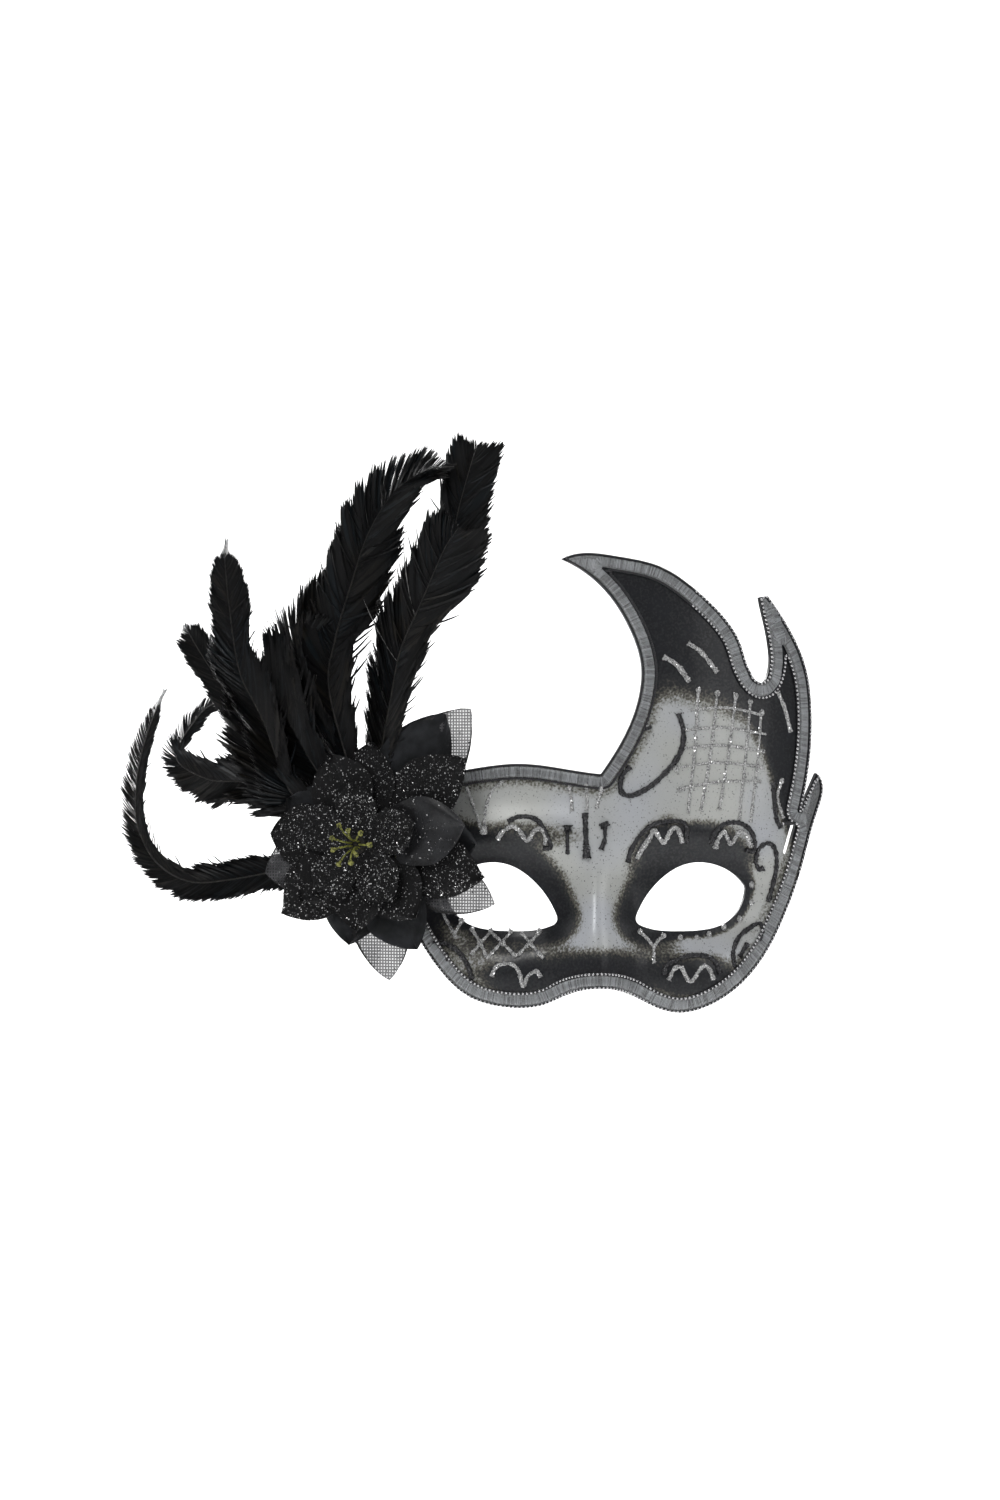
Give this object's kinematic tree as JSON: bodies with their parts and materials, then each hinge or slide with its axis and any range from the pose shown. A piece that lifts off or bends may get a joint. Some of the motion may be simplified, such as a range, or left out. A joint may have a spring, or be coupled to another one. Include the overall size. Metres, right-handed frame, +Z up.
{
  "type": "venetian masquerade mask",
  "caption": "Asymmetric horned half mask in pearl, black and silver, edged with braid, with a fabric flower and a fan of long black plumes at one temple.",
  "frame": {"origin": "inside face of the nose bridge, level with the middle of the eye openings", "axes": "+X to the viewer's right across the face, +Y towards the wearer's head, +Z up"},
  "size_m": [0.2567, 0.0742, 0.2061],
  "materials": {
    "shell_plastic": "pearl white moulded plastic, airbrushed black and silver",
    "braid_silver": "silver metallic braid, ribbed",
    "braid_cord": "black and silver twisted cord",
    "glue": "cloudy hot-melt glue",
    "felt": "black craft felt",
    "stem_plastic": "black plastic",
    "organza": "sheer grey organza",
    "matte_cloth": "matte black stiffened cloth",
    "glitter_cloth": "sheer black cloth with silver glitter",
    "satin": "black satin",
    "button": "black covered button",
    "stamen_thread": "stiffened pale gold thread",
    "pip": "pearly pale gold",
    "plume": "glossy black feather"
  },
  "bodies": {
    "mask": {"shell": "shell_plastic", "braid_edge_cord": "braid_cord", "braid_band": "braid_silver", "braid_inner_cord": "braid_cord", "glue_mound": "glue", "felt_pad": "felt", "flower_stem": "stem_plastic", "petals_grey": "organza", "petals_matte": "matte_cloth", "petals_glitter": "glitter_cloth", "petals_satin": "satin", "petals_inner": "glitter_cloth", "flower_button": "button", "stamens": "stamen_thread", "stamen_pips": "pip"},
    "plume_hook": {"plume_hook": "plume"},
    "plume_arch_strand": {"plume_arch_strand": "plume"},
    "plume_tall_upright": {"plume_tall_upright": "plume"},
    "plume_side_long": {"plume_side_long": "plume"},
    "plume_tall_arch": {"plume_tall_arch": "plume"},
    "plume_side_short": {"plume_side_short": "plume"},
    "plume_sickle": {"plume_sickle": "plume"},
    "plume_side_broad": {"plume_side_broad": "plume"},
    "plume_spike": {"plume_spike": "plume"},
    "plume_broad_upright": {"plume_broad_upright": "plume"}
  },
  "joints": [
    {"name": "plume_hook_sway", "type": "hinge", "parent": "mask", "child": "plume_hook", "pos_m": [-0.08513, 0.02608, 0.0212], "axis": [-0.3746, -0.9272, 0], "range_deg": [-4, 4], "stiffness_Nm_per_rad": 0.0008415},
    {"name": "plume_arch_strand_sway", "type": "hinge", "parent": "mask", "child": "plume_arch_strand", "pos_m": [-0.08308, 0.02525, 0.02356], "axis": [-0.3746, -0.9272, 0], "range_deg": [-4, 4], "stiffness_Nm_per_rad": 0.0013929},
    {"name": "plume_tall_upright_sway", "type": "hinge", "parent": "mask", "child": "plume_tall_upright", "pos_m": [-0.08035, 0.02415, 0.02418], "axis": [-0.3746, -0.9272, 0], "range_deg": [-4, 4], "stiffness_Nm_per_rad": 0.0048306},
    {"name": "plume_side_long_sway", "type": "hinge", "parent": "mask", "child": "plume_side_long", "pos_m": [-0.08511, 0.02435, 0.02227], "axis": [-0.3746, -0.9272, 0], "range_deg": [-4, 4], "stiffness_Nm_per_rad": 0.0013685},
    {"name": "plume_tall_arch_sway", "type": "hinge", "parent": "mask", "child": "plume_tall_arch", "pos_m": [-0.08288, 0.02345, 0.02393], "axis": [-0.3746, -0.9272, 0], "range_deg": [-4, 4], "stiffness_Nm_per_rad": 0.0049543},
    {"name": "plume_side_short_sway", "type": "hinge", "parent": "mask", "child": "plume_side_short", "pos_m": [-0.08627, 0.02309, 0.02133], "axis": [-0.3746, -0.9272, 0], "range_deg": [-4, 4], "stiffness_Nm_per_rad": 0.00050417},
    {"name": "plume_sickle_sway", "type": "hinge", "parent": "mask", "child": "plume_sickle", "pos_m": [-0.0866, 0.02322, 0.0176], "axis": [-0.3746, -0.9272, 0], "range_deg": [-4, 4], "stiffness_Nm_per_rad": 0.001543},
    {"name": "plume_side_broad_sway", "type": "hinge", "parent": "mask", "child": "plume_side_broad", "pos_m": [-0.08546, 0.02104, 0.02315], "axis": [-0.3746, -0.9272, 0], "range_deg": [-4, 4], "stiffness_Nm_per_rad": 0.00071931},
    {"name": "plume_spike_sway", "type": "hinge", "parent": "mask", "child": "plume_spike", "pos_m": [-0.0872, 0.02001, 0.02183], "axis": [-0.3746, -0.9272, 0], "range_deg": [-4, 4], "stiffness_Nm_per_rad": 0.0023974},
    {"name": "plume_broad_upright_sway", "type": "hinge", "parent": "mask", "child": "plume_broad_upright", "pos_m": [-0.08225, 0.01801, 0.02411], "axis": [-0.3746, -0.9272, 0], "range_deg": [-4, 4], "stiffness_Nm_per_rad": 0.0030573}
  ]
}
